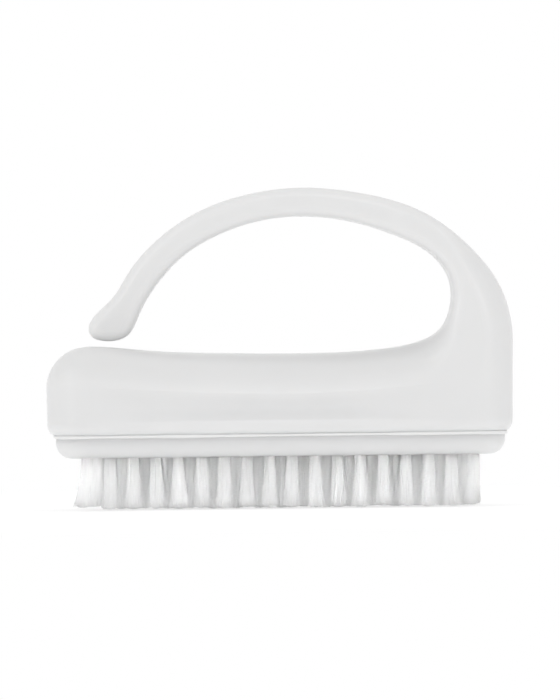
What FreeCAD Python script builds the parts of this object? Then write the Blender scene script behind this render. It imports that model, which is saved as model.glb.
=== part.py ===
# Nail brush: a moulded shell whose back end rises into an open hook handle, a tufted plate that
# plugs into the shell's underside, the nylon tufts in the plate's blind holes, and the flat wire
# anchors that hold the tufts there. The brush stands on its bristle tips, +Z up, hook tip to -X.
import FreeCAD
import Part
import Sketcher
import math
import os

Vector = FreeCAD.Vector

# Lengths in millimetres, angles in degrees.
driving_sizes = {
    # Shell, outside
    "shell_length": 95.0,
    "shell_width": 38.0,
    "body_height": 18.3,
    "saddle_dip": 1.9,
    "nose_radius": 8.4,
    "wall_draft": 0.8,
    "end_radius": 6.0,
    "rim_radius": 2.5,
    "grip_radius": 7.6,
    "crease_drop": 8.0,
    "scoop_depth": 0.55,
    "scoop_rise": 2.9,
    # Handle
    "handle_height": 31.9,
    "apex_shift": 4.2,
    "arm_thickness": 5.75,
    "column_thickness": 12.25,
    "throat_radius": 8.4,
    "arm_width": 17.2,
    "tip_width": 12.8,
    "arm_sweep_run": 5.0,
    "arm_edge_radius": 1.8,
    "tip_gap": 1.2,
    "tip_setback": 9.9,
    "tip_length": 8.95,
    "tip_height": 5.15,
    # Shell, inside
    "rim_wall": 1.75,
    "seat_width": 1.5,
    "roof_thickness": 4.3,
    "column_wall": 2.6,
    "column_core_height": 8.0,
    # Bristle plate
    "fit_gap": 0.08,
    "plug_depth": 5.0,
    "skirt_height": 4.4,
    "skirt_radius": 3.2,
    # Tufts
    "free_length": 10.7,
    "tuft_diameter": 2.35,
    "tuft_flare": 0.45,
    "hole_depth": 6.6,
    "hole_gap": 0.05,
    "column_pitch": 4.63,
    "row_pitch": 3.86,
    "tuft_margin": 5.5,
    # Anchors
    "anchor_length": 2.9,
    "anchor_thickness": 0.35,
    "anchor_height": 1.6,
    "anchor_bed": 1.2,
    "anchor_angle": 35.0,
    "anchor_gap": 0.02,
    # How far a cutting tool runs past what it cuts
    "overrun": 2.0,
}

doc = FreeCAD.newDocument("nail_brush")
sheet = doc.addObject("Spreadsheet::Sheet", "Sizes")
for row, (alias, value) in enumerate(driving_sizes.items(), start=1):
    sheet.set(f"A{row}", alias)
    sheet.set(f"B{row}", str(value))
    sheet.setAlias(f"B{row}", alias)
doc.recompute()


def size(alias):
    return sheet.get(alias)


# Levels above the bristle tips, as expressions on the sheet
plate_bottom = "Sizes.free_length"
seam = f"({plate_bottom} + Sizes.skirt_height)"
plate_top = f"({seam} + Sizes.plug_depth)"
body_top = f"({seam} + Sizes.body_height)"
saddle_low = f"({body_top} - Sizes.saddle_dip)"
apex = f"({body_top} + Sizes.handle_height)"
hole_floor = f"({plate_bottom} + Sizes.hole_depth)"
anchor_top = f"({hole_floor} - Sizes.anchor_bed)"
anchor_bottom = f"({anchor_top} - Sizes.anchor_height)"

# Sizes that follow from the fit of the plate in the shell
socket_length = "(Sizes.shell_length - 2 * Sizes.rim_wall)"
socket_width = "(Sizes.shell_width - 2 * Sizes.rim_wall)"
socket_radius = "(Sizes.end_radius - Sizes.rim_wall)"
plate_length = f"({socket_length} - 2 * Sizes.fit_gap)"
plate_width = f"({socket_width} - 2 * Sizes.fit_gap)"
plate_radius = f"({socket_radius} - Sizes.fit_gap)"


def worth(expression):
    return sheet.evalExpression(expression)


# As many tufts as the plate takes at their pitches, inside the margin along its edges. The rows
# are staggered: every second row stands half a pitch along and has one tuft fewer.
column_span = worth(f"{plate_length} - 2 * Sizes.tuft_margin")
row_span = worth(f"{plate_width} - 2 * Sizes.tuft_margin")
column_count = int(column_span / size("column_pitch")) + 1
row_count = int(row_span / size("row_pitch")) + 1
hole_radius = "(Sizes.tuft_diameter / 2 + Sizes.hole_gap)"
first_column = f"(-{column_count - 1} / 2 * Sizes.column_pitch)"
first_row = f"(-{row_count - 1} / 2 * Sizes.row_pitch)"
# Each kind of row: its shift along the plate, its first place across and its number of rows
row_kinds = (
    ("full", "0", first_row, (row_count + 1) // 2),
    ("half", "Sizes.column_pitch / 2", f"({first_row} + Sizes.row_pitch)", row_count // 2))


def new_body(label):
    body = doc.addObject("PartDesign::Body", label)
    body.Label = label
    body.AllowCompound = True
    return body


def origin_feature(body, role):
    return next(part for part in body.Origin.OriginFeatures if part.Role == role)


def new_sketch(body, name, role, along="0", up="0", out="0", turn="0"):
    # along, up and out are the sketch's place in its plane's own directions; turn is about its normal
    sketch = body.newObject("Sketcher::SketchObject", name)
    sketch.AttachmentSupport = [(origin_feature(body, role), "")]
    sketch.MapMode = "FlatFace"
    sketch.AttachmentOffset = FreeCAD.Placement(
        Vector(worth(along), worth(up), worth(out)),
        FreeCAD.Rotation(Vector(0, 0, 1), worth(turn)))
    for axis, place in (("x", along), ("y", up), ("z", out)):
        if place != "0":
            sketch.setExpression(f"AttachmentOffset.Base.{axis}", place)
    if turn != "0":
        sketch.setExpression("AttachmentOffset.Rotation.Angle", turn)
    return sketch


def constrain(sketch, name, expression, *elements):
    kind = elements[0]
    index = sketch.addConstraint(Sketcher.Constraint(kind, *elements[1:], worth(expression)))
    sketch.renameConstraint(index, name)
    sketch.setExpression(f"Constraints.{name}", expression)


def draw_polygon(sketch, corners):
    # corners are pairs of expressions, each bound to its cells by its own constraints
    places = [Vector(worth(x), worth(y), 0) for x, y in corners]
    first = sketch.GeometryCount
    count = len(places)
    for index in range(count):
        sketch.addGeometry(Part.LineSegment(places[index], places[(index + 1) % count]), False)
    for index in range(count):
        line = first + index
        follower = first + (index + 1) % count
        sketch.addConstraint(Sketcher.Constraint("Coincident", line, 2, follower, 1))
        for kind, expression in zip(("DistanceX", "DistanceY"), corners[index]):
            axis = -2 if kind == "DistanceX" else -1
            if expression == "0":
                sketch.addConstraint(Sketcher.Constraint("PointOnObject", line, 1, axis))
            else:
                constrain(sketch, f"{kind}{line}", expression, kind, -1, 1, line, 1)


def draw_rectangle(sketch, length, width):
    low_x, high_x = f"(-{length} / 2)", f"({length} / 2)"
    low_y, high_y = f"(-{width} / 2)", f"({width} / 2)"
    draw_polygon(sketch, ((low_x, low_y), (high_x, low_y), (high_x, high_y), (low_x, high_y)))


def draw_rounded_rectangle(sketch, length, width, radius):
    # Four sides bound at both ends, then a quarter arc of the bound radius at each corner
    x, y = f"({length} / 2)", f"({width} / 2)"
    inner_x, inner_y = f"({length} / 2 - {radius})", f"({width} / 2 - {radius})"
    sides = (
        ((f"(-{inner_x})", f"(-{y})"), (inner_x, f"(-{y})")),
        ((x, f"(-{inner_y})"), (x, inner_y)),
        ((inner_x, y), (f"(-{inner_x})", y)),
        ((f"(-{x})", inner_y), (f"(-{x})", f"(-{inner_y})")))
    for line, ends in enumerate(sides):
        places = [Vector(worth(across), worth(up), 0) for across, up in ends]
        sketch.addGeometry(Part.LineSegment(*places), False)
        for end, expressions in enumerate(ends, start=1):
            for kind, expression in zip(("DistanceX", "DistanceY"), expressions):
                constrain(sketch, f"{kind}{line}end{end}", expression, kind, -1, 1, line, end)
    for corner in range(len(sides)):
        follower = (corner + 1) % len(sides)
        centre = Vector(worth(sides[corner][1][0]), worth(sides[follower][0][1]), 0)
        if corner % 2:
            centre = Vector(worth(sides[follower][0][0]), worth(sides[corner][1][1]), 0)
        circle = Part.Circle(centre, Vector(0, 0, 1), worth(radius))
        turn = math.pi / 2
        arc = sketch.addGeometry(Part.ArcOfCircle(circle, (corner - 1) * turn, corner * turn), False)
        sketch.addConstraint(Sketcher.Constraint("Coincident", arc, 1, corner, 2))
        sketch.addConstraint(Sketcher.Constraint("Coincident", arc, 2, follower, 1))
        constrain(sketch, f"radius{corner}", radius, "Radius", arc)


def draw_fixed(sketch, curves):
    # An outline worked out from the sheet's sizes, held as drawn
    for index, curve in enumerate(curves):
        sketch.addGeometry(curve, False)
        sketch.addConstraint(Sketcher.Constraint("Block", index))


def pad(body, sketch, length, both_ways=False):
    feature = body.newObject("PartDesign::Pad", f"{sketch.Name}_pad")
    feature.Profile = sketch
    feature.setExpression("Length", length)
    if both_ways:
        feature.SideType = "Symmetric"
    return feature


def pocket(body, sketch, depth, upwards=False):
    feature = body.newObject("PartDesign::Pocket", f"{sketch.Name}_pocket")
    feature.Profile = sketch
    feature.Reversed = upwards
    feature.setExpression("Length", depth)
    return feature


def round_edges(body, name, base, radius, wanted):
    # wanted picks the edges by the place of their middle and their run from end to end
    doc.recompute()
    names = []
    for number, edge in enumerate(base.Shape.Edges, start=1):
        start, end = edge.valueAt(edge.FirstParameter), edge.valueAt(edge.LastParameter)
        middle = edge.valueAt((edge.FirstParameter + edge.LastParameter) / 2)
        if wanted(middle, end - start):
            names.append(f"Edge{number}")
    feature = body.newObject("PartDesign::Fillet", name)
    feature.Base = (base, names)
    feature.setExpression("Radius", radius)
    return feature


# How far off plumb an upright edge may run, as a share of its height
plumb_share = 0.001


def is_plumb(run):
    return math.hypot(run.x, run.y) < plumb_share * abs(run.z)


# Where the rounding over the handle's shoulder stands between the ends' and the arm's
shoulder_share = 0.5
# Where the finger scoop is deepest, from its foot up to its crease
hollow_share = 0.75

# Side outline of the shell and its handle. Each table gives the curve's points as shares of the
# spans named beside it, in the order in which the outline is drawn.
half_length = size("shell_length") / 2
half_width = size("shell_width") / 2
seam_z = worth(seam)
body_z = worth(body_top)
apex_z = worth(apex)
under_z = apex_z - size("arm_thickness")
apex_x = size("apex_shift")
loop_back_x = half_length - size("column_thickness")
tip_outer_x = size("tip_setback") - half_length
tip_inner_x = tip_outer_x + size("tip_length")
tip_low_z = body_z + size("tip_gap")
tip_high_z = tip_low_z + size("tip_height")
throat_high_z = body_z + size("throat_radius")
draft = math.radians(size("wall_draft"))
nose_radius = size("nose_radius")
nose_x = nose_radius * math.cos(draft) - half_length
nose_low_z = body_z - nose_radius * (1 + math.sin(draft))

# Over the back: apex to back wall, body top to apex
back_shares = ((0.942, 0.362), (0.796, 0.62), (0.594, 0.828), (0.29, 0.961))
# Over the front: apex to the tip's outer side, tip to apex
front_shares = ((0.2356, 0.957), (0.5, 0.81), (0.7115, 0.569), (0.835, 0.335), (0.92, 0.125))
# Round the tip: its length, its height
tip_shares = ((-0.066, 0.854), (-0.148, 0.505), (-0.066, 0.155), (0.132, 0.01), (0.47, 0.0),
              (0.73, 0.19), (0.879, 0.524))
# Under the front: apex to the tip's inner side, tip to the arm's underside
front_under_shares = ((0.855, 0.38), (0.70, 0.63), (0.5, 0.818), (0.25, 0.955))
# Under the back: apex to the loop's back, throat to the arm's underside
back_under_shares = ((0.309, 0.948), (0.64, 0.77), (0.88, 0.535), (0.985, 0.276))
# Down the throat to the body: shares of the throat's radius, from its corner
throat_shares = ((-0.095, 0.616), (-0.284, 0.317), (-0.815, 0.027))
# Along the saddle from nose to throat: share of its length, of its dip and of the scoop's depth
saddle_shares = ((0.0, 0.0, 0.02), (0.162, 0.5, 0.6), (0.363, 0.865, 1.0), (0.602, 1.0, 1.0),
                 (0.8125, 0.595, 0.6), (1.0, 0.0, 0.02))


def between(start, end, share):
    return start + share * (end - start)


def span_points(shares, start_x, end_x, low_z, high_z):
    return [(between(start_x, end_x, x), between(low_z, high_z, z)) for x, z in shares]


def saddle_place(share, dip_share):
    return between(nose_x, loop_back_x, share), body_z - dip_share * size("saddle_dip")


def handle_points():
    points = [(half_length, body_z)]
    points += span_points(back_shares, apex_x, half_length, body_z, apex_z)
    points.append(arm_top)
    points += span_points(front_shares, apex_x, tip_outer_x, tip_high_z, apex_z)
    points.append(tip_outside)
    points += span_points(tip_shares, tip_outer_x, tip_inner_x, tip_low_z, tip_high_z)
    points.append(tip_inside)
    points += span_points(front_under_shares, apex_x, tip_inner_x, tip_high_z, under_z)
    points.append(arm_under)
    points += span_points(back_under_shares, apex_x, loop_back_x, throat_high_z, under_z)
    points.append(throat_top)
    points += span_points(
        throat_shares, loop_back_x, loop_back_x + size("throat_radius"), body_z, throat_high_z)
    points += [saddle_place(share, dip) for share, dip, depth in reversed(saddle_shares[1:-1])]
    points.append((nose_x, body_z))
    return points


arm_top = (apex_x, apex_z)
tip_outside = (tip_outer_x, tip_high_z)
tip_inside = (tip_inner_x, tip_high_z)
arm_under = (apex_x, under_z)
throat_top = (loop_back_x, throat_high_z)
points = handle_points()
shoulder = points[2]
throat_end = points[points.index(throat_top) + len(throat_shares)]
nose_foot = (-half_length, nose_low_z)
front_foot = ((nose_low_z - seam_z) * math.tan(draft) - half_length, seam_z)
back_foot = (half_length - (body_z - seam_z) * math.tan(draft), seam_z)


def side_outline():
    # The sketch's second axis is the part's Z
    spline = Part.BSplineCurve()
    spline.interpolate(
        Points=[Vector(x, z, 0) for x, z in points],
        InitialTangent=Vector(math.sin(draft), math.cos(draft), 0),
        FinalTangent=Vector(-1, 0, 0),
        Scale=False)
    curves = []
    stops = [points[0], shoulder, arm_top, tip_outside, tip_inside, arm_under, throat_top, throat_end,
             points[-1]]
    for start, end in zip(stops, stops[1:]):
        piece = spline.copy()
        piece.segment(spline.parameter(Vector(*start, 0)), spline.parameter(Vector(*end, 0)))
        curves.append(piece)
    nose_bow = nose_radius * math.cos(math.pi / 4)
    nose_middle = Vector(nose_x - nose_bow, body_z - nose_radius + nose_bow, 0)
    curves.append(Part.Arc(Vector(*points[-1], 0), nose_middle, Vector(*nose_foot, 0)))
    feet = (nose_foot, front_foot, back_foot, points[0])
    for start, end in zip(feet, feet[1:]):
        curves.append(Part.LineSegment(Vector(*start, 0), Vector(*end, 0)))
    return curves


def make_rounded_shell():
    blank = new_body("shell_blank")
    outline = new_sketch(blank, "side_outline", "XZ_Plane")
    draw_fixed(outline, side_outline())
    pad(blank, outline, "Sizes.shell_width", both_ways=True)

    # The handle narrows forwards in plan, from the shell's width at the throat to its tip
    taper_start = "(Sizes.shell_length / 2 - Sizes.column_thickness - Sizes.throat_radius)"
    front = "(-Sizes.shell_length / 2 - Sizes.overrun)"
    side = "(Sizes.shell_width / 2)"
    outside = "(Sizes.shell_width / 2 + Sizes.overrun)"
    slope = f"(({side} - Sizes.arm_width / 2) / ({taper_start} + Sizes.apex_shift))"
    corners = (
        (f"({taper_start} + Sizes.overrun)", f"({side} + {slope} * Sizes.overrun)"),
        ("(-Sizes.apex_shift)", "(Sizes.arm_width / 2)"),
        (front, "(Sizes.tip_width / 2)"),
        (front, outside),
        (f"({taper_start} + Sizes.overrun)", outside))
    taper = new_sketch(blank, "arm_taper", "XY_Plane", out=f"{body_top} + Sizes.tip_gap / 2")
    draw_polygon(taper, corners)
    draw_polygon(taper, [(x, f"(-{y})") for x, y in corners])
    tapered = pocket(blank, taper, "Sizes.handle_height", upwards=True)
    over_body = worth(f"{body_top} + Sizes.tip_gap")
    sweep_radius = f"(Sizes.arm_sweep_run / tan(atan({slope}) / 2))"
    swept = round_edges(
        blank, "arm_sweep", tapered, sweep_radius,
        lambda middle, run: is_plumb(run) and middle.z > over_body and abs(middle.x) < loop_back_x)
    blank.Tip = swept
    doc.recompute()

    rounded = doc.addObject("Part::Fillet", "shell_rounded")
    rounded.Base = blank
    rounded.Edges = side_edge_radii(blank.Shape)
    return rounded


def side_edge_radii(shape):
    # Edge rounding along the shell's two sides: a radius at each end of each edge
    radii = []
    for number, edge in enumerate(shape.Edges, start=1):
        start, end = edge.valueAt(edge.FirstParameter), edge.valueAt(edge.LastParameter)
        across = abs(end.y - start.y) > size("shell_width") / 2
        along_seam = max(start.z, end.z) < seam_z + size("rim_radius")
        in_taper = is_plumb(end - start) and abs(start.x) < loop_back_x
        if not (across or along_seam or in_taper):
            radii.append((number, side_radius(start), side_radius(end)))
    return radii


def side_radius(place):
    # Soft along the saddle and at the ends, finer along the arm
    shoulder_radius = between(size("end_radius"), size("arm_edge_radius"), shoulder_share)
    stations = (
        (points[0], size("end_radius")),
        (shoulder, shoulder_radius),
        (throat_end, size("grip_radius")),
        (points[-1], size("grip_radius")),
        (nose_foot, size("end_radius")),
        (front_foot, size("end_radius")),
        (back_foot, size("end_radius")))
    for (x, z), radius in stations:
        if math.hypot(place.x - x, place.z - z) < size("rim_radius"):
            return radius
    return size("arm_edge_radius")


def make_handle_shell():
    shell = new_body("handle_shell")
    shell.BaseFeature = make_rounded_shell()
    doc.recompute()
    near = size("rim_radius") / 2
    round_edges(
        shell, "rim_rounding", shell.Tip, "Sizes.rim_radius",
        lambda middle, run: middle.z < seam_z + near and abs(run.z) < near)

    # Shallow finger scoop along each side, its upper crease a fixed drop below the saddle
    stations = []
    for number, (share, dip_share, depth_share) in enumerate(saddle_shares):
        x, top_z = saddle_place(share, dip_share)
        station = new_sketch(shell, f"scoop_station_{number}", "YZ_Plane", out=str(x))
        crease_z = top_z - size("crease_drop")
        foot_z = seam_z + size("scoop_rise")
        depth = depth_share * size("scoop_depth")
        outside = -half_width - size("overrun")
        corners = [Vector(-half_width, foot_z, 0), Vector(outside, foot_z, 0),
                   Vector(outside, crease_z, 0), Vector(-half_width, crease_z, 0)]
        deepest = Vector(depth - half_width, between(foot_z, crease_z, hollow_share), 0)
        curves = [Part.LineSegment(start, end) for start, end in zip(corners, corners[1:])]
        hollow = Part.BSplineCurve()
        hollow.interpolate([corners[-1], deepest, corners[0]])
        curves.append(hollow)
        draw_fixed(station, curves)
        stations.append(station)
    scoop = shell.newObject("PartDesign::SubtractiveLoft", "scoop")
    scoop.Profile = stations[0]
    scoop.Sections = stations[1:]
    both_scoops = shell.newObject("PartDesign::Mirrored", "both_scoops")
    both_scoops.Originals = [scoop]
    both_scoops.MirrorPlane = (origin_feature(shell, "XZ_Plane"), [""])
    shell.Tip = both_scoops

    # Socket for the plate, the hollow above its seat and the core of the handle's column
    cavity_length = f"({socket_length} - 2 * Sizes.seat_width)"
    cavity_width = f"({socket_width} - 2 * Sizes.seat_width)"
    roof = f"({saddle_low} - Sizes.roof_thickness)"
    socket = new_sketch(shell, "socket", "XY_Plane", out=seam)
    draw_rounded_rectangle(socket, socket_length, socket_width, socket_radius)
    pocket(shell, socket, "Sizes.plug_depth", upwards=True)
    cavity = new_sketch(shell, "cavity", "XY_Plane", out=plate_top)
    draw_rounded_rectangle(cavity, cavity_length, cavity_width, f"({socket_radius} - Sizes.seat_width)")
    pocket(shell, cavity, f"{roof} - {plate_top}", upwards=True)
    core = new_sketch(shell, "column_core", "XY_Plane", out=roof)
    core_front = "(Sizes.shell_length / 2 - Sizes.column_thickness + Sizes.column_wall)"
    core_back = "(Sizes.shell_length / 2 - Sizes.column_wall)"
    draw_polygon(core, (
        (core_front, f"(-{cavity_width} / 2)"), (core_back, f"(-{cavity_width} / 2)"),
        (core_back, f"({cavity_width} / 2)"), (core_front, f"({cavity_width} / 2)")))
    shell.Tip = pocket(shell, core, "Sizes.column_core_height", upwards=True)
    return shell


def make_bristle_plate():
    plate = new_body("bristle_plate")
    outline = new_sketch(plate, "plate_outline", "XY_Plane", out=plate_bottom)
    draw_rounded_rectangle(outline, plate_length, plate_width, plate_radius)
    block = pad(plate, outline, "Sizes.skirt_height + Sizes.plug_depth")
    bottom_z = worth(plate_bottom)
    block = round_edges(
        plate, "skirt_rounding", block, "Sizes.skirt_radius",
        lambda middle, run: abs(middle.z - bottom_z) < size("fit_gap"))

    for kind, shift, across, rows in row_kinds:
        columns = column_count if kind == "full" else column_count - 1
        along = f"({first_column} + {shift})"
        mouth = new_sketch(plate, f"{kind}_hole", "XY_Plane", along, across, plate_bottom)
        mouth.addGeometry(Part.Circle(Vector(0, 0, 0), Vector(0, 0, 1), worth(hole_radius)), False)
        mouth.addConstraint(Sketcher.Constraint("Coincident", 0, 3, -1, 1))
        constrain(mouth, "radius", hole_radius, "Radius", 0)
        hole = pocket(plate, mouth, "Sizes.hole_depth", upwards=True)
        slot = cut_anchor_slot(plate, kind, along, across)
        holes = repeat_rows(plate, f"{kind}_holes", [hole, slot], rows)
        holes.Direction2 = (origin_feature(plate, "X_Axis"), [""])
        holes.setExpression("Length2", f"{columns - 1} * Sizes.column_pitch")
        holes.Occurrences2 = columns
    return plate


def cut_anchor_slot(body, kind, along, across):
    slot = new_sketch(body, f"{kind}_slot", "XY_Plane", along, across,
                      f"{anchor_top} + Sizes.anchor_gap", "Sizes.anchor_angle")
    draw_rectangle(slot, "(Sizes.anchor_length + 2 * Sizes.anchor_gap)",
                   "(Sizes.anchor_thickness + 2 * Sizes.anchor_gap)")
    return pocket(body, slot, "Sizes.anchor_height + 2 * Sizes.anchor_gap")


def repeat_rows(body, name, originals, rows):
    pattern = body.newObject("PartDesign::LinearPattern", name)
    pattern.Originals = originals
    pattern.Direction = (origin_feature(body, "Y_Axis"), [""])
    pattern.setExpression("Length", f"{rows - 1} * 2 * Sizes.row_pitch")
    pattern.Occurrences = rows
    body.Tip = pattern
    return pattern


def kinds_in_column(index):
    return row_kinds if index < column_count - 1 else row_kinds[:1]


def place_column(body, index):
    body.setExpression("Placement.Base.x", f"{first_column} + {index} * Sizes.column_pitch")


def make_tuft_column(index):
    # A tuft fills its hole and spreads a little from the plate down to its tips
    column = new_body(f"tuft_column_{index + 1:02d}")
    root_radius = "(Sizes.tuft_diameter / 2)"
    tip_radius = f"({root_radius} + Sizes.tuft_flare)"
    for kind, shift, across, rows in kinds_in_column(index):
        profile = new_sketch(column, f"{kind}_profile", "XZ_Plane", along=shift, out=f"-{across}")
        draw_polygon(profile, (
            ("0", "0"), (tip_radius, "0"), (root_radius, plate_bottom),
            (root_radius, hole_floor), ("0", hole_floor)))
        tuft = column.newObject("PartDesign::Revolution", f"{kind}_tuft")
        tuft.Profile = profile
        tuft.ReferenceAxis = (profile, ["V_Axis"])
        slot = cut_anchor_slot(column, kind, shift, across)
        repeat_rows(column, f"{kind}_tufts", [tuft, slot], rows)
    place_column(column, index)
    return column


def make_anchor_column(index):
    column = new_body(f"anchor_column_{index + 1:02d}")
    for kind, shift, across, rows in kinds_in_column(index):
        blade = new_sketch(column, f"{kind}_blade", "XY_Plane", shift, across, anchor_bottom,
                           "Sizes.anchor_angle")
        draw_rectangle(blade, "Sizes.anchor_length", "Sizes.anchor_thickness")
        anchor = pad(column, blade, "Sizes.anchor_height")
        repeat_rows(column, f"{kind}_anchors", [anchor], rows)
    place_column(column, index)
    return column


pieces = [make_handle_shell(), make_bristle_plate()]
pieces += [make_tuft_column(index) for index in range(column_count)]
pieces += [make_anchor_column(index) for index in range(column_count)]
doc.recompute()

for item in doc.Objects:
    if "Invalid" in item.State or "Error" in item.State:
        raise RuntimeError(f"{item.Label} did not recompute")
    if item.TypeId in ("PartDesign::Pocket", "PartDesign::SubtractiveLoft"):
        if item.Shape.Volume >= item.BaseFeature.Shape.Volume:
            raise RuntimeError(f"{item.Label} cuts nothing")
for piece in pieces:
    if piece.Shape.isNull() or not piece.Shape.isValid():
        raise RuntimeError(f"{piece.Label} is not a sound solid")

os.makedirs("parts", exist_ok=True)
for piece in pieces:
    piece.Shape.exportStep(f"parts/{piece.Label}.step")
    print(piece.Label, len(piece.Shape.Solids), "solids", round(piece.Shape.Volume, 2), "mm3")
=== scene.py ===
# Nail brush with an open hook handle: moulded shell and bristle plate, nylon tufts, wire anchors
import bpy
import math
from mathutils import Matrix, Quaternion, Vector


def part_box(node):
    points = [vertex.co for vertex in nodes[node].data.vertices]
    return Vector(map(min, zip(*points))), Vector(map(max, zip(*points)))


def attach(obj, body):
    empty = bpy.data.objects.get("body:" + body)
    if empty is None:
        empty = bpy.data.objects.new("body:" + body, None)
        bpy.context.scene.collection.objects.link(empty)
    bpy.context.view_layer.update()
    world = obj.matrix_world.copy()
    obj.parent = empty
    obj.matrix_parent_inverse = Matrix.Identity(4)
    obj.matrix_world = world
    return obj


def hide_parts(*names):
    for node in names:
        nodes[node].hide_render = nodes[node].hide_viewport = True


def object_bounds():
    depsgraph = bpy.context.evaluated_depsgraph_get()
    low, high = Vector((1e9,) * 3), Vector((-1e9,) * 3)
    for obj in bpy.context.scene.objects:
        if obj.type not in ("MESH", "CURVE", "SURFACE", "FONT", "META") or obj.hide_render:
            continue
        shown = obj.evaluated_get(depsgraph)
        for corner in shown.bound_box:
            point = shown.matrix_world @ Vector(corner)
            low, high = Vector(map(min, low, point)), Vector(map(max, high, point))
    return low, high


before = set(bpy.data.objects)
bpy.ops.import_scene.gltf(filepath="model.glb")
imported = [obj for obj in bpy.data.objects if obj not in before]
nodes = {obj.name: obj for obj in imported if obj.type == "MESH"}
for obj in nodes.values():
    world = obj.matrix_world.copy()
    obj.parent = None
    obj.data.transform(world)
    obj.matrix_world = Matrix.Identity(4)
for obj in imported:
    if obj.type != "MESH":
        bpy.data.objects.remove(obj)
cadLow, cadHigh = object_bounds()
mm = 0.001  # one millimetre in the scene's metres
print("frame loaded:", len(nodes), "CAD nodes")


def linear(code):
    # sRGB hex to the linear RGBA that shaders take
    channels = [int(code[place:place + 2], 16) / 255 for place in (1, 3, 5)]
    return [c / 12.92 if c <= 0.04045 else ((c + 0.055) / 1.055) ** 2.4 for c in channels] + [1.0]


def addNode(tree, kind, inputs=None, **settings):
    # inputs maps a socket's name or number to a value, or to the node or output that feeds it
    node = tree.nodes.new(kind)
    for name, value in settings.items():
        setattr(node, name, value)
    for key, value in (inputs or {}).items():
        if isinstance(value, bpy.types.Node):
            value = value.outputs[0]
        if isinstance(value, bpy.types.NodeSocket):
            tree.links.new(value, node.inputs[key])
        else:
            node.inputs[key].default_value = value
    return node


def newMaterial(name):
    material = bpy.data.materials.new(name)
    material.use_nodes = True
    material.node_tree.nodes.clear()
    return material, material.node_tree


# Natural polypropylene, injection moulded. Without pigment it is milky: light sinks a few millimetres
# in and comes out again, so edges and shadows go soft, under a satin skin with faint flow clouds and a
# slight ripple.
polypropylene = {
    "shellLight": "#E4E4E4",
    "shellDark": "#E0E0E0",
    "plateLight": "#E0E0E0",
    "plateDark": "#DCDCDC",
    "ior": 1.49,
    "roughness": (0.28, 0.31),
    "shellReach": 2.2 * mm,
    "plateReach": 7.0 * mm,  # the plate is the thicker block, and light shows through to its underside
    "flashLight": "#F2F2F2",
    "flashDark": "#E6E6E6",
    "flashReach": 0.05 * mm,  # the bead is too thin to show any depth
    "seamPaintedLight": "#E9E9E9",  # painted light along the seam, which lifts the shade in the crevice under the shell's rim
    "seamPaintedLightReach": (0.3 * mm, 1.0 * mm),  # above and below the seam: wholly so up to here, gone by here
    "scatterTint": (1.0, 0.97, 0.94),
    "scatterWeight": 0.85,
    "cloudSize": 11 * mm,
    "cloudRange": (0.3, 0.7),  # noise values that give the smoothest and the roughest skin
    "rippleSize": 6 * mm,
    "rippleHeight": 0.02 * mm,
    "grainSize": 0.35 * mm,  # the real mould texture is finer; this is the finest that shows
    "grainHeight": 0.0015 * mm,
}


def mouldedPolypropylene(name, light, dark, reach):
    pp = polypropylene
    material, tree = newMaterial(name)
    place = addNode(tree, "ShaderNodeTexCoord").outputs["Object"]
    clouds = addNode(tree, "ShaderNodeTexNoise", {
        "Vector": place, "Scale": 1 / pp["cloudSize"], "Detail": 3.0})
    ripple = addNode(tree, "ShaderNodeTexNoise", {
        "Vector": place, "Scale": 1 / pp["rippleSize"], "Detail": 1.0})
    grain = addNode(tree, "ShaderNodeTexNoise", {
        "Vector": place, "Scale": 1 / pp["grainSize"], "Detail": 2.0})
    tone = addNode(tree, "ShaderNodeMix", {
        0: clouds, 6: linear(dark), 7: linear(light)}, data_type="RGBA")
    height = addNode(tree, "ShaderNodeSeparateXYZ", {0: place}).outputs["Z"]
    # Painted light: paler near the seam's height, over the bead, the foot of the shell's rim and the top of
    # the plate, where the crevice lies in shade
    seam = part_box("handle_shell")[0].z
    rise = addNode(tree, "ShaderNodeMath", {0: height, 1: seam}, operation="SUBTRACT")
    fromSeam = addNode(tree, "ShaderNodeMath", {0: rise}, operation="ABSOLUTE")
    seamLightShare = addNode(tree, "ShaderNodeMapRange", {
        "Value": fromSeam, 1: pp["seamPaintedLightReach"][0], 2: pp["seamPaintedLightReach"][1], 3: 1.0, 4: 0.0})
    colour = addNode(tree, "ShaderNodeMix", {
        0: seamLightShare, 6: tone.outputs[2], 7: linear(pp["seamPaintedLight"])}, data_type="RGBA")
    rough = addNode(tree, "ShaderNodeMapRange", {
        "Value": clouds, 1: pp["cloudRange"][0], 2: pp["cloudRange"][1],
        3: pp["roughness"][0], 4: pp["roughness"][1]})
    rippled = addNode(tree, "ShaderNodeBump", {
        "Height": ripple, "Distance": pp["rippleHeight"], "Strength": 1.0})
    grained = addNode(tree, "ShaderNodeBump", {
        "Height": grain, "Distance": pp["grainHeight"], "Strength": 1.0, "Normal": rippled})
    skin = addNode(tree, "ShaderNodeBsdfPrincipled", {
        "Base Color": colour.outputs[2], "Roughness": rough, "Normal": grained, "IOR": pp["ior"],
        "Subsurface Weight": pp["scatterWeight"], "Subsurface Radius": pp["scatterTint"],
        "Subsurface Scale": reach})
    addNode(tree, "ShaderNodeOutputMaterial", {"Surface": skin})
    return material
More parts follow.
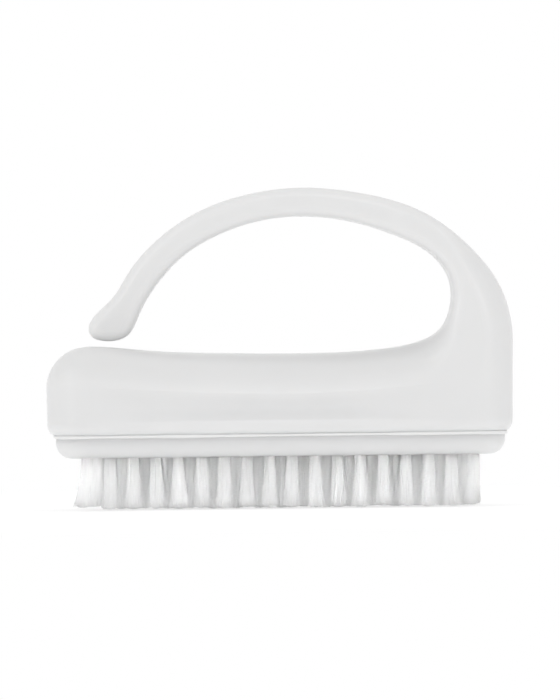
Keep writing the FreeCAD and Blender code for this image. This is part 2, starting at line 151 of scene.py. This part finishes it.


# Nylon filament, extruded and drawn. White and smooth, each with its own slight tone and a soft shine along
# it, and thin enough that light passes on through it, so that the gaps between tufts stay pale. Painted
# light makes it paler still towards the root and on the inner tufts.
nylon = {
    "paintedShadeAtTip": ("#DADADA", "#D4D4D4"),  # painted shade towards the tips: of the outer tufts, and of the inner ones
    "paintedLightAtRoot": ("#EAEAEA", "#FAFAFA"),  # painted light towards the roots, which lie in the plate's shade, and on the inner tufts, which lie in the shade of the outer ones
    "shade": 0.05,  # how much darker the darkest filaments are
    "endShade": 0.1,  # how much darker the tufts at the ends are, which stand in more light
    "endReach": (33.0 * mm, 40.0 * mm),  # from the brush's middle: where that begins and is full
    "ior": 1.53,
    "roughness": 0.5,
    "scatterReach": 18.0 * mm,
    "scatterAtTip": (0.45, 0.45),  # share of scattered light in the outer tufts, and in the inner ones
    "scatterAtRoot": (1.0, 1.0),
    "streakSize": 0.5 * mm,
}


def drawnNylon():
    material, tree = newMaterial("nylonFilamentDrawn")
    tone = addNode(tree, "ShaderNodeAttribute", attribute_name="tone", attribute_type="GEOMETRY")
    inner = addNode(tree, "ShaderNodeAttribute", attribute_name="inner", attribute_type="GEOMETRY")
    place = addNode(tree, "ShaderNodeTexCoord").outputs["Object"]
    streaks = addNode(tree, "ShaderNodeTexNoise", {"Vector": place, "Scale": 1 / nylon["streakSize"]})
    shade = addNode(tree, "ShaderNodeMath", {
        0: tone.outputs["Fac"], 1: streaks}, operation="MULTIPLY")
    axes = addNode(tree, "ShaderNodeSeparateXYZ", {0: place}).outputs
    rise = addNode(tree, "ShaderNodeMapRange", {
        "Value": axes["Z"], 1: 0.0, 2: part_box("bristle_plate")[0].z})
    along = addNode(tree, "ShaderNodeMath", {0: axes["X"]}, operation="ABSOLUTE")
    atEnd = addNode(tree, "ShaderNodeMapRange", {
        "Value": along, 1: nylon["endReach"][0], 2: nylon["endReach"][1], 4: nylon["endShade"]})
    # Painted light and shade: darker towards the tips and paler towards the roots, set by depth in the
    # brush, to lift the shade under the plate and in the gaps between tufts
    paintedDepthShadings = []
    for outerPaintedTone, innerPaintedTone in (nylon["paintedShadeAtTip"], nylon["paintedLightAtRoot"]):
        paintedDepthShadings.append(addNode(tree, "ShaderNodeMix", {
            0: inner.outputs["Fac"], 6: linear(outerPaintedTone), 7: linear(innerPaintedTone)}, data_type="RGBA"))
    tuftPaintedShading = addNode(tree, "ShaderNodeMix", {
        0: rise, 6: paintedDepthShadings[0].outputs[2], 7: paintedDepthShadings[1].outputs[2]}, data_type="RGBA")
    darker = addNode(tree, "ShaderNodeMath", {
        0: shade, 1: nylon["shade"], 2: atEnd}, operation="MULTIPLY_ADD")
    colour = addNode(tree, "ShaderNodeMix", {
        0: darker, 6: tuftPaintedShading.outputs[2], 7: linear("#000000")}, data_type="RGBA")
    shares = []
    for outerShare, innerShare in (nylon["scatterAtTip"], nylon["scatterAtRoot"]):
        shares.append(addNode(tree, "ShaderNodeMapRange", {
            "Value": inner.outputs["Fac"], 3: outerShare, 4: innerShare}))
    scatter = addNode(tree, "ShaderNodeMapRange", {"Value": rise, 3: shares[0], 4: shares[1]})
    skin = addNode(tree, "ShaderNodeBsdfPrincipled", {
        "Base Color": colour.outputs[2], "Roughness": nylon["roughness"], "IOR": nylon["ior"],
        "Subsurface Weight": scatter, "Subsurface Scale": nylon["scatterReach"],
        "Subsurface Radius": (1.0, 1.0, 1.0)}, subsurface_method="BURLEY")
    addNode(tree, "ShaderNodeOutputMaterial", {"Surface": skin})
    return material


# Nickel silver, drawn flat. A dull warm-white metal with fine draw lines along the wire.
anchorWire = {
    "light": "#CFCBC0",
    "dark": "#B3AFA4",
    "roughness": (0.28, 0.45),
    "lineSize": 0.12 * mm,
    "lineStretch": (0.1, 0.1, 1.0),
}


def drawnNickelSilver():
    material, tree = newMaterial("nickelSilverDrawn")
    place = addNode(tree, "ShaderNodeTexCoord").outputs["Object"]
    stretched = addNode(tree, "ShaderNodeMapping", {"Vector": place, "Scale": anchorWire["lineStretch"]})
    lines = addNode(tree, "ShaderNodeTexNoise", {
        "Vector": stretched, "Scale": 1 / anchorWire["lineSize"], "Detail": 2.0})
    colour = addNode(tree, "ShaderNodeMix", {
        0: lines, 6: linear(anchorWire["dark"]), 7: linear(anchorWire["light"])}, data_type="RGBA")
    rough = addNode(tree, "ShaderNodeMapRange", {
        "Value": lines, 3: anchorWire["roughness"][0], 4: anchorWire["roughness"][1]})
    skin = addNode(tree, "ShaderNodeBsdfPrincipled", {
        "Base Color": colour.outputs[2], "Roughness": rough, "Metallic": 1.0})
    addNode(tree, "ShaderNodeOutputMaterial", {"Surface": skin})
    return material


def dress(nodeName, material):
    node = nodes[nodeName]
    node.data.materials.clear()
    node.data.materials.append(material)


shellMaterial = mouldedPolypropylene(
    "polypropyleneMouldedShell", polypropylene["shellLight"], polypropylene["shellDark"],
    polypropylene["shellReach"])
plateMaterial = mouldedPolypropylene(
    "polypropyleneMouldedPlate", polypropylene["plateLight"], polypropylene["plateDark"],
    polypropylene["plateReach"])
flashMaterial = mouldedPolypropylene(
    "polypropyleneWeldFlash", polypropylene["flashLight"], polypropylene["flashDark"],
    polypropylene["flashReach"])
nylonMaterial = drawnNylon()
wireMaterial = drawnNickelSilver()
dress("handle_shell", shellMaterial)
dress("bristle_plate", plateMaterial)
for name in sorted(nodes):
    if name.startswith("anchor_column"):
        dress(name, wireMaterial)
print("finishes on the shell, plate and anchors")


def newTree(name, inputs, output):
    # A Geometry Nodes tree with named inputs: gives the tree, and each input's identifier by its name
    tree = bpy.data.node_groups.new(name, "GeometryNodeTree")
    identifiers = {}
    for label, kind in inputs:
        socket = tree.interface.new_socket(name=label, in_out="INPUT", socket_type=f"NodeSocket{kind}")
        identifiers[label] = socket.identifier
    tree.interface.new_socket(name=output, in_out="OUTPUT", socket_type="NodeSocketGeometry")
    return tree, identifiers


def grow(pieceName, start, tree, identifiers, settings):
    # The tree's result on a starting mesh, as a plain mesh object that rides on the brush
    maker = bpy.data.objects.new("maker", start)
    bpy.context.scene.collection.objects.link(maker)
    grower = maker.modifiers.new("grower", "NODES")
    grower.node_group = tree
    for label, value in settings.items():
        grower[identifiers[label]] = value
    evaluated = maker.evaluated_get(bpy.context.evaluated_depsgraph_get())
    mesh = bpy.data.meshes.new_from_object(evaluated)
    bpy.data.objects.remove(maker)
    piece = bpy.data.objects.new(pieceName, mesh)
    bpy.context.scene.collection.objects.link(piece)
    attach(piece, "root")
    return piece


# Tufts: each is a round bundle of filaments that leaves its hole in the plate, stands straight for
# half its length and opens towards its tips
tufts = {
    "rows": 7,
    "filaments": 150,
    "filamentDiameter": 0.17 * mm,
    "sides": 5,
    "bends": 6,  # points along each filament
    "rootDiameter": 2.25 * mm,
    "tipDiameter": 3.5 * mm,
    "tipVariation": 0.08,  # share by which one tuft opens more or less than another
    "flare": 2.0,  # 1 opens evenly all the way down, more opens later
    "rootDepth": 1.5 * mm,  # how far up in its hole a filament starts
    "splay": 0.15 * mm,
    "lean": 0.15 * mm,
    "frontEndLean": -1.0 * mm,  # lean along the brush of the tufts under its nose, and at its back
    "backEndLean": -0.6 * mm,
    "unevenness": 0.4 * mm,
    "dome": 0.4 * mm,  # how much shorter a tuft's outer filaments are
    "tuftUnevenness": 0.4 * mm,
    "frontEndRise": 0.5 * mm,  # how much shorter the worn tufts under the nose are
    "strayShare": 0.03,
    "strayReach": 0.9 * mm,
    "tipStart": 0.8,  # share of a filament's length at which it begins to thin
    "tipShare": 0.5,  # a filament's thickness at its rounded tip
    "crowding": 0.75,  # below 1 crowds a filament's points towards its tip
    "outerDepth": 3.5 * mm,  # tufts this far in from the outermost ones count as inner
    "seed": 7,
    "seedStep": 10,  # from one column to the next
}


def tuftTree():
    tree, identifiers = newTree("tuftsFromPlaces", (
        ("Places", "Geometry"), ("Filaments", "Int"), ("Sides", "Int"), ("Bends", "Int"),
        ("Filament Radius", "Float"), ("Root Radius", "Float"), ("Tip Radius", "Float"),
        ("Tip Variation", "Float"), ("Flare", "Float"), ("Root Height", "Float"), ("Splay", "Float"),
        ("Lean", "Float"), ("End Lean", "Vector"), ("Unevenness", "Float"), ("Dome", "Float"),
        ("Tuft Unevenness", "Float"), ("End Rise", "Float"), ("Stray Share", "Float"),
        ("Stray Reach", "Float"), ("Tip Share", "Float"), ("Seed", "Int"),
        ("Nylon", "Material")), "Tufts")
    given = addNode(tree, "NodeGroupInput").outputs
    index = addNode(tree, "GeometryNodeInputIndex")
    seeds = [addNode(tree, "ShaderNodeMath", {0: given["Seed"], 1: float(step)}, operation="ADD")
             for step in range(8)]
    flatBox = {0: (-1.0, -1.0, 0.0), 1: (1.0, 1.0, 0.0), 7: index}

    # Each place keeps its centre, and a lean, a rise, a flare and a turn of its own
    sway = addNode(tree, "FunctionNodeRandomValue", {**flatBox, 8: seeds[0]}, data_type="FLOAT_VECTOR")
    lean = addNode(tree, "ShaderNodeVectorMath", {
        0: sway, 1: given["Lean"], 2: given["End Lean"]}, operation="MULTIPLY_ADD")
    worn = addNode(tree, "FunctionNodeRandomValue", {7: index, 8: seeds[1]})
    rise = addNode(tree, "ShaderNodeMath", {
        0: worn.outputs[1], 1: given["Tuft Unevenness"], 2: given["End Rise"]}, operation="MULTIPLY_ADD")
    spare = addNode(tree, "FunctionNodeRandomValue", {2: -1.0, 3: 1.0, 7: index, 8: seeds[2]})
    wider = addNode(tree, "ShaderNodeMath", {
        0: spare.outputs[1], 1: given["Tip Variation"], 2: 1.0}, operation="MULTIPLY_ADD")
    flare = addNode(tree, "ShaderNodeMath", {0: wider, 1: given["Tip Radius"]}, operation="MULTIPLY")
    turn = addNode(tree, "FunctionNodeRandomValue", {2: 0.0, 3: 2 * math.pi, 7: index, 8: seeds[3]})
    tuftValues = {
        "tuftCentre": ("FLOAT_VECTOR", addNode(tree, "GeometryNodeInputPosition")),
        "tuftLean": ("FLOAT_VECTOR", lean),
        "tuftRise": ("FLOAT", rise),
        "tuftFlare": ("FLOAT", flare),
        "tuftTurn": ("FLOAT", turn.outputs[1]),
    }
    points = given["Places"]
    for name, (kind, value) in tuftValues.items():
        points = addNode(tree, "GeometryNodeStoreNamedAttribute", {
            "Geometry": points, "Name": name, "Value": value}, data_type=kind, domain="POINT")
    own = {}
    for name, (kind, value) in tuftValues.items():
        own[name] = addNode(tree, "GeometryNodeInputNamedAttribute", {"Name": name}, data_type=kind)

    # A place becomes a bundle of points in a disc, like the seeds of a sunflower head
    bundle = addNode(tree, "GeometryNodeDuplicateElements", {
        "Geometry": points, "Amount": given["Filaments"]}, domain="POINT")
    copy = bundle.outputs["Duplicate Index"]
    number = addNode(tree, "ShaderNodeMath", {0: copy, 1: 0.5}, operation="ADD")
    share = addNode(tree, "ShaderNodeMath", {0: number, 1: given["Filaments"]}, operation="DIVIDE")
    ring = addNode(tree, "ShaderNodeMath", {0: share, 1: 0.5}, operation="POWER")
    goldenAngle = math.pi * (3 - math.sqrt(5))
    angle = addNode(tree, "ShaderNodeMath", {
        0: copy, 1: goldenAngle, 2: own["tuftTurn"]}, operation="MULTIPLY_ADD")
    outward = addNode(tree, "ShaderNodeCombineXYZ", {"X": ring})
    spread = addNode(tree, "ShaderNodeVectorRotate", {
        "Vector": outward, "Angle": angle}, rotation_type="Z_AXIS")

    # Each filament's root and tip from its tuft's middle, and how high above the floor it ends
    drawn = addNode(tree, "FunctionNodeRandomValue", {7: index, 8: seeds[4]})
    stray = addNode(tree, "ShaderNodeMath", {
        0: drawn.outputs[1], 1: given["Stray Share"]}, operation="LESS_THAN")
    reach = addNode(tree, "ShaderNodeMath", {
        0: stray, 1: given["Stray Reach"], 2: own["tuftFlare"]}, operation="MULTIPLY_ADD")
    jitter = addNode(tree, "FunctionNodeRandomValue", {**flatBox, 8: seeds[5]}, data_type="FLOAT_VECTOR")
    loose = addNode(tree, "ShaderNodeVectorMath", {
        0: jitter, 1: given["Splay"], 2: own["tuftLean"]}, operation="MULTIPLY_ADD")
    tip = addNode(tree, "ShaderNodeVectorMath", {
        0: spread, 1: reach, 2: loose}, operation="MULTIPLY_ADD")
    root = addNode(tree, "ShaderNodeVectorMath", {
        0: spread, 1: given["Root Radius"]}, operation="MULTIPLY")
    cut = addNode(tree, "FunctionNodeRandomValue", {7: index, 8: seeds[6]})
    short = addNode(tree, "ShaderNodeMath", {0: cut.outputs[1], 1: 2.0}, operation="POWER")
    domed = addNode(tree, "ShaderNodeMath", {
        0: share, 1: given["Dome"], 2: own["tuftRise"]}, operation="MULTIPLY_ADD")
    height = addNode(tree, "ShaderNodeMath", {
        0: short, 1: given["Unevenness"], 2: domed}, operation="MULTIPLY_ADD")
    tone = addNode(tree, "FunctionNodeRandomValue", {7: index, 8: seeds[7]})
    filamentValues = {
        "rootPlace": ("FLOAT_VECTOR", root),
        "tipPlace": ("FLOAT_VECTOR", tip),
        "tipHeight": ("FLOAT", height),
        "tone": ("FLOAT", tone.outputs[1]),
    }
    points = bundle.outputs["Geometry"]
    for name, (kind, value) in filamentValues.items():
        points = addNode(tree, "GeometryNodeStoreNamedAttribute", {
            "Geometry": points, "Name": name, "Value": value}, data_type=kind, domain="POINT")
    for name, (kind, value) in filamentValues.items():
        own[name] = addNode(tree, "GeometryNodeInputNamedAttribute", {"Name": name}, data_type=kind)

    # One line for each point, bent from its root in the hole to its tip, its points crowded downwards
    line = addNode(tree, "GeometryNodeCurvePrimitiveLine", {"End": (0.0, 0.0, -1.0)})
    line = addNode(tree, "GeometryNodeResampleCurve", {"Curve": line, "Count": given["Bends"]})
    lines = addNode(tree, "GeometryNodeInstanceOnPoints", {"Points": points, "Instance": line})
    lines = addNode(tree, "GeometryNodeRealizeInstances", {"Geometry": lines})
    factor = addNode(tree, "GeometryNodeSplineParameter").outputs["Factor"]
    along = addNode(tree, "ShaderNodeMath", {0: factor, 1: tufts["crowding"]}, operation="POWER")
    opened = addNode(tree, "ShaderNodeMath", {0: along, 1: given["Flare"]}, operation="POWER")
    across = addNode(tree, "ShaderNodeMix", {
        0: opened, 4: own["rootPlace"], 5: own["tipPlace"]}, data_type="VECTOR")
    level = addNode(tree, "ShaderNodeMix", {0: along, 2: given["Root Height"], 3: own["tipHeight"]})
    raised = addNode(tree, "ShaderNodeCombineXYZ", {"Z": level})
    place = addNode(tree, "ShaderNodeVectorMath", {
        0: own["tuftCentre"], 1: across.outputs[1]}, operation="ADD")
    place = addNode(tree, "ShaderNodeVectorMath", {0: place, 1: raised}, operation="ADD")
    lines = addNode(tree, "GeometryNodeSetPosition", {"Geometry": lines, "Position": place})

    # Filament thickness, drawn in at the last point
    thickness = addNode(tree, "ShaderNodeMapRange", {
        0: factor, 1: tufts["tipStart"], 2: 1.0, 3: 1.0, 4: given["Tip Share"]})
    circle = addNode(tree, "GeometryNodeCurvePrimitiveCircle", {
        "Resolution": given["Sides"], "Radius": given["Filament Radius"]})
    solid = addNode(tree, "GeometryNodeCurveToMesh", {
        "Curve": lines, "Profile Curve": circle, "Scale": thickness, "Fill Caps": True})
    for name in own:
        if name != "tone":
            solid = addNode(tree, "GeometryNodeRemoveAttribute", {"Geometry": solid, "Name": name})
    smooth = addNode(tree, "GeometryNodeSetShadeSmooth", {"Geometry": solid})
    whole = addNode(tree, "GeometryNodeRealizeInstances", {"Geometry": smooth})
    finished = addNode(tree, "GeometryNodeSetMaterial", {
        "Geometry": whole, "Material": given["Nylon"]})
    addNode(tree, "NodeGroupOutput", {0: finished})
    return tree, identifiers


def tuftPlaces(columns):
    # Centres of each column's tufts from the boxes of the CAD columns, half rows between full ones
    lows = [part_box(name)[0] for name in columns]
    highs = [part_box(name)[1] for name in columns]
    reach = (highs[-1].x - lows[-1].x) / 2  # the last column has full rows alone
    pitch = (lows[-1].x - lows[0].x) / (len(columns) - 1)
    firstRow = lows[0].y + reach
    lastRow = highs[0].y - reach
    rowPitch = (lastRow - firstRow) / (tufts["rows"] - 1)
    places = []
    for low in lows:
        column = []
        for row in range(tufts["rows"]):
            shift = pitch / 2 if row % 2 else 0.0
            column.append(Vector((low.x + reach + shift, firstRow + row * rowPitch, 0.0)))
        places.append(column)
    places[-1] = places[-1][::2]
    return places, Vector((lows[0].x + reach, firstRow, 0.0)), Vector((lows[-1].x + reach, lastRow, 0.0))


def makeTufts():
    tree, identifiers = tuftTree()
    columns = [name for name in sorted(nodes) if name.startswith("tuft_column")]
    filamentRadius = tufts["filamentDiameter"] / 2
    settings = {
        "Filaments": tufts["filaments"], "Sides": tufts["sides"], "Bends": tufts["bends"],
        "Filament Radius": filamentRadius, "Root Radius": tufts["rootDiameter"] / 2 - filamentRadius,
        "Tip Radius": tufts["tipDiameter"] / 2, "Tip Variation": tufts["tipVariation"],
        "Flare": tufts["flare"], "Root Height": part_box("bristle_plate")[0].z + tufts["rootDepth"],
        "Splay": tufts["splay"], "Lean": tufts["lean"], "Unevenness": tufts["unevenness"],
        "Dome": tufts["dome"], "Tuft Unevenness": tufts["tuftUnevenness"],
        "Stray Share": tufts["strayShare"], "Stray Reach": tufts["strayReach"],
        "Tip Share": tufts["tipShare"], "Nylon": nylonMaterial}
    columnPlaces, first, last = tuftPlaces(columns)
    for number, (column, places) in enumerate(zip(columns, columnPlaces)):
        start = bpy.data.meshes.new("tuftPlaces")
        start.from_pydata([tuple(place) for place in places], [], [])
        inner = start.attributes.new("inner", "FLOAT", "POINT")
        for mark, place in zip(inner.data, places):
            inset = min(place.x - first.x, last.x - place.x, place.y - first.y, last.y - place.y)
            mark.value = min(1.0, max(0.0, inset / tufts["outerDepth"]))
        nearFront = 1 / (1 + number) ** 2
        nearBack = 1 / (len(columns) - number) ** 2
        endLean = tufts["frontEndLean"] * nearFront + tufts["backEndLean"] * nearBack
        columnSettings = {
            "End Lean": (endLean, 0.0, 0.0), "End Rise": tufts["frontEndRise"] * nearFront,
            "Seed": tufts["seed"] + tufts["seedStep"] * number}
        pieceName = f"nylon_tufts_{number + 1:02d}"
        piece = grow(pieceName, start, tree, identifiers, {**settings, **columnSettings})
        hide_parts(column)
    print("tufts:", len(columns), "columns,", len(piece.data.polygons), "faces in the last")


makeTufts()


# Weld flash: a fine bead of melted plastic that stands along the seam where the plate was welded in
weldFlash = {
    "cornerRadius": 4.2 * mm,  # the plate's upright corners
    "cornerSteps": 8,
    "out": 0.2 * mm,  # its middle, out from the plate's sides
    "drop": 0.15 * mm,  # its middle, below the shell's rim
    "thickness": 0.9 * mm,
    "sides": 8,
    "step": 0.5 * mm,
    "thinnest": 0.6,  # share of the thickness where it nearly breaks off
    "lumpSize": 9.0 * mm,
    "lumpRange": (0.35, 0.65),  # noise values that give the thinnest and the full bead
    "seed": 3.0,
}


def weldFlashTree():
    tree, identifiers = newTree("beadRoundPlate", (
        ("Start", "Geometry"), ("Length", "Float"), ("Width", "Float"), ("Corner Radius", "Float"),
        ("Level", "Float"), ("Radius", "Float"), ("Sides", "Int"), ("Step", "Float"),
        ("Thinnest", "Float"), ("Lump Scale", "Float"), ("Seed", "Float"),
        ("Plastic", "Material")), "Bead")
    given = addNode(tree, "NodeGroupInput").outputs
    outline = addNode(tree, "GeometryNodeCurvePrimitiveQuadrilateral", {
        "Width": given["Length"], "Height": given["Width"]}, mode="RECTANGLE")
    outline = addNode(tree, "GeometryNodeFilletCurve", {
        "Curve": outline, "Count": weldFlash["cornerSteps"], "Radius": given["Corner Radius"]}, mode="POLY")
    outline = addNode(tree, "GeometryNodeResampleCurve", {
        "Curve": outline, "Length": given["Step"]}, mode="LENGTH")
    level = addNode(tree, "ShaderNodeCombineXYZ", {"Z": given["Level"]})
    outline = addNode(tree, "GeometryNodeSetPosition", {"Geometry": outline, "Offset": level})
    lumps = addNode(tree, "ShaderNodeTexNoise", {
        "W": given["Seed"], "Scale": given["Lump Scale"], "Detail": 2.0}, noise_dimensions="4D")
    thickness = addNode(tree, "ShaderNodeMapRange", {
        0: lumps, 1: weldFlash["lumpRange"][0], 2: weldFlash["lumpRange"][1],
        3: given["Thinnest"], 4: 1.0})
    circle = addNode(tree, "GeometryNodeCurvePrimitiveCircle", {
        "Resolution": given["Sides"], "Radius": given["Radius"]})
    bead = addNode(tree, "GeometryNodeCurveToMesh", {
        "Curve": outline, "Profile Curve": circle, "Scale": thickness})
    smooth = addNode(tree, "GeometryNodeSetShadeSmooth", {"Geometry": bead})
    whole = addNode(tree, "GeometryNodeRealizeInstances", {"Geometry": smooth})
    finished = addNode(tree, "GeometryNodeSetMaterial", {
        "Geometry": whole, "Material": given["Plastic"]})
    addNode(tree, "NodeGroupOutput", {0: finished})
    return tree, identifiers


def makeWeldFlash():
    tree, identifiers = weldFlashTree()
    plateLow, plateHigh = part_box("bristle_plate")
    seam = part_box("handle_shell")[0].z
    piece = grow("weld_flash", bpy.data.meshes.new("start"), tree, identifiers, {
        "Length": plateHigh.x - plateLow.x + 2 * weldFlash["out"],
        "Width": plateHigh.y - plateLow.y + 2 * weldFlash["out"],
        "Corner Radius": weldFlash["cornerRadius"] + weldFlash["out"], "Level": seam - weldFlash["drop"],
        "Radius": weldFlash["thickness"] / 2, "Sides": weldFlash["sides"], "Step": weldFlash["step"],
        "Thinnest": weldFlash["thinnest"], "Lump Scale": 1 / weldFlash["lumpSize"],
        "Seed": weldFlash["seed"], "Plastic": flashMaterial})
    print("weld flash:", len(piece.data.polygons), "faces")


makeWeldFlash()


# Studio: pale lit table, white surround, a large soft lamp in front and one overhead, and three small
# ones in front for the thin highlights along the edges
studio = {
    "floorSize": 8.0,
    "floor": "#BEBEBE",
    "floorLight": 0.6,  # the table is lit from within, so that light also comes up between the tufts
    "floorClear": (0.3, 1.0),  # how far the eye sees the floor as plain white, near the brush and beyond
    "clearReach": (0.06, 0.30),
    "ambient": 0.8,
    "lamps": (  # place, size, power in watts
        ((0.0, -3.0, 0.12), 1.2, 4.0),
        ((-0.5, -1.03, 0.2), 0.1, 0.45),
        ((0.5, -1.03, 0.2), 0.1, 0.5),
        ((-0.55, -0.85, 0.6), 0.1, 0.45),
        ((0.0, 0.0, 1.2), 0.9, 0.8),
    ),
}


def surroundShare(tree):
    # 1 for rays that show the surround as the eye sees it: straight, mirrored or through a clear wall
    path = addNode(tree, "ShaderNodeLightPath").outputs
    seen = addNode(tree, "ShaderNodeMath", {
        0: path["Is Camera Ray"], 1: path["Is Glossy Ray"]}, operation="MAXIMUM")
    return addNode(tree, "ShaderNodeMath", {
        0: seen, 1: path["Is Transmission Ray"]}, operation="MAXIMUM")


def makeSurround():
    world = bpy.data.worlds.new("studio")
    world.use_nodes = True
    tree = world.node_tree
    tree.nodes.clear()
    white = linear("#FFFFFF")
    fill = addNode(tree, "ShaderNodeBackground", {"Color": white, "Strength": studio["ambient"]})
    backdrop = addNode(tree, "ShaderNodeBackground", {"Color": white, "Strength": 1.0})
    mixed = addNode(tree, "ShaderNodeMixShader", {0: surroundShare(tree), 1: fill, 2: backdrop})
    addNode(tree, "ShaderNodeOutputWorld", {"Surface": mixed})
    bpy.context.scene.world = world


# Opal acrylic sheet, cast and lit from within. An even white glow on which a shadow still shows.
def litOpalAcrylic():
    material, tree = newMaterial("opalAcrylicCastLit")
    white = linear("#FFFFFF")
    matt = addNode(tree, "ShaderNodeBsdfDiffuse", {"Color": linear(studio["floor"])})
    glow = addNode(tree, "ShaderNodeEmission", {"Color": white, "Strength": studio["floorLight"]})
    opal = addNode(tree, "ShaderNodeAddShader", {0: matt, 1: glow})
    plain = addNode(tree, "ShaderNodeEmission", {"Color": white, "Strength": 1.0})
    place = addNode(tree, "ShaderNodeTexCoord").outputs["Object"]
    away = addNode(tree, "ShaderNodeVectorMath", {0: place}, operation="LENGTH")
    clear = addNode(tree, "ShaderNodeMapRange", {
        "Value": away.outputs["Value"], 1: studio["clearReach"][0], 2: studio["clearReach"][1],
        3: studio["floorClear"][0], 4: studio["floorClear"][1]}, interpolation_type="SMOOTHSTEP")
    share = addNode(tree, "ShaderNodeMath", {0: surroundShare(tree), 1: clear}, operation="MULTIPLY")
    mixed = addNode(tree, "ShaderNodeMixShader", {0: share, 1: opal, 2: plain})
    addNode(tree, "ShaderNodeOutputMaterial", {"Surface": mixed})
    return material


def makeStudio():
    scene = bpy.context.scene
    scene.view_settings.view_transform = "Standard"
    makeSurround()
    half = studio["floorSize"] / 2
    sheet = bpy.data.meshes.new("floor")
    corners = [(-half, -half, 0), (half, -half, 0), (half, half, 0), (-half, half, 0)]
    sheet.from_pydata(corners, [], [(0, 1, 2, 3)])
    sheet.materials.append(litOpalAcrylic())
    floor = bpy.data.objects.new("floor", sheet)
    scene.collection.objects.link(floor)

    aim = (cadLow + cadHigh) / 2
    for number, (place, size, power) in enumerate(studio["lamps"]):
        lamp = bpy.data.lights.new(f"softbox{number + 1}", "AREA")
        lamp.size = size
        lamp.energy = power
        holder = bpy.data.objects.new(f"softbox{number + 1}", lamp)
        holder.location = place
        holder.rotation_mode = "QUATERNION"
        holder.rotation_quaternion = (aim - Vector(place)).to_track_quat("-Z", "Y")
        scene.collection.objects.link(holder)
    print("studio:", len(studio["lamps"]), "lamps")


makeStudio()


# Camera: side on, a little above the saddle, rolled by the small tilt of the photograph
view = {
    "distance": 2600 * mm,
    "height": 40 * mm,
    "aim": (0.11 * mm, 32.3 * mm),  # along the brush and up
    "roll": -0.7,  # degrees
    "frameHeight": 142.4 * mm,  # what the image's height spans at the outline's depth
    "outlineDepth": 13 * mm,  # in front of the brush's middle
    "sensor": 36.0,
    "clip": (0.01, 50.0),
}


def makeCamera():
    along, up = view["aim"]
    place = Vector((along, -view["distance"], view["height"]))
    target = Vector((along, -view["outlineDepth"], up))
    lens = bpy.data.cameras.new("camera")
    lens.sensor_width = view["sensor"]
    lens.lens = view["sensor"] * (target - place).length / view["frameHeight"]
    lens.clip_start, lens.clip_end = view["clip"]
    camera = bpy.data.objects.new("camera", lens)
    camera.location = place
    camera.rotation_mode = "QUATERNION"
    roll = Quaternion((0.0, 0.0, 1.0), math.radians(view["roll"]))
    camera.rotation_quaternion = (target - place).to_track_quat("-Z", "Y") @ roll
    bpy.context.scene.collection.objects.link(camera)
    bpy.context.scene.camera = camera
    print("camera:", round(lens.lens, 1), "mm lens")


makeCamera()
